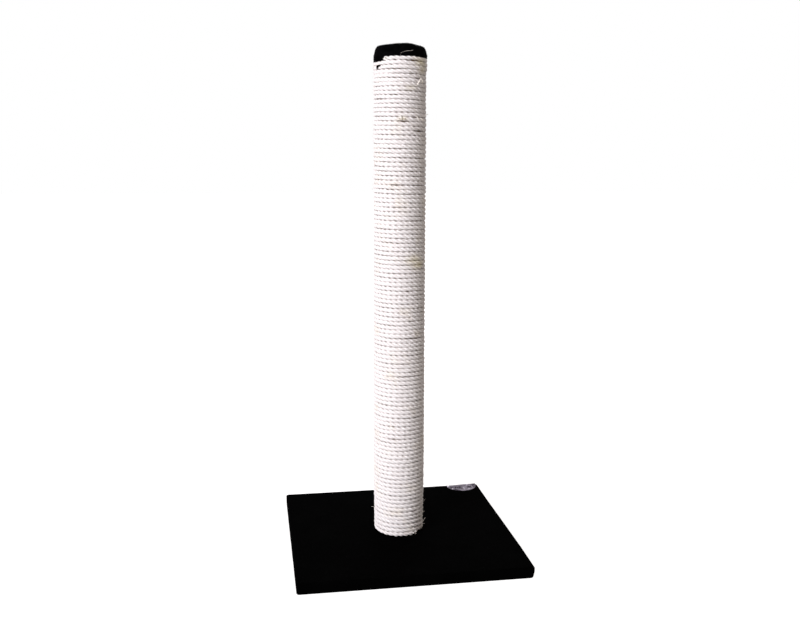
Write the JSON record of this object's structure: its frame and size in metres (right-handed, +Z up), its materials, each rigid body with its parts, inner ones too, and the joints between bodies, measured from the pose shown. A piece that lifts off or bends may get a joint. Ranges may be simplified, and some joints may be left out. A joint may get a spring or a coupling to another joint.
{
  "type": "cat scratching post",
  "caption": "Upright cat scratching post: rope-wound tube with a plush cap, bolted to the middle of a flat square base covered in carpet.",
  "frame": {"origin": "middle of the base's underside, where the post stands on the floor", "axes": "+Z up along the post, -Y towards the front, +X to the right seen from the front"},
  "size_m": [0.4, 0.4004, 0.8905],
  "materials": {
    "chipboard": "matte",
    "base_carpet": "matte",
    "cap_plush": "matte",
    "wire": "satin",
    "zinc_steel": "satin",
    "plug_wood": "matte",
    "tube_card": "matte",
    "sisal": "matte",
    "foil": "satin"
  },
  "bodies": {
    "root": {"base_board": "chipboard", "base_carpet": "base_carpet", "carpet_staples": "wire", "base_bolt": "zinc_steel", "base_washer": "zinc_steel", "tee_nut": "zinc_steel", "bottom_plug": "plug_wood", "bottom_plug_nails": "wire", "post_tube": "tube_card", "top_plug": "plug_wood", "top_plug_nails": "wire", "cap_carpet": "cap_plush", "cap_staples": "wire", "rope_upper": "sisal", "rope_lower_1": "sisal", "rope_lower_2": "sisal", "rope_lower_3": "sisal", "rope_lower_4": "sisal", "rope_lower_5": "sisal", "rope_nails": "wire", "blank_label": "foil"}
  },
  "joints": []
}
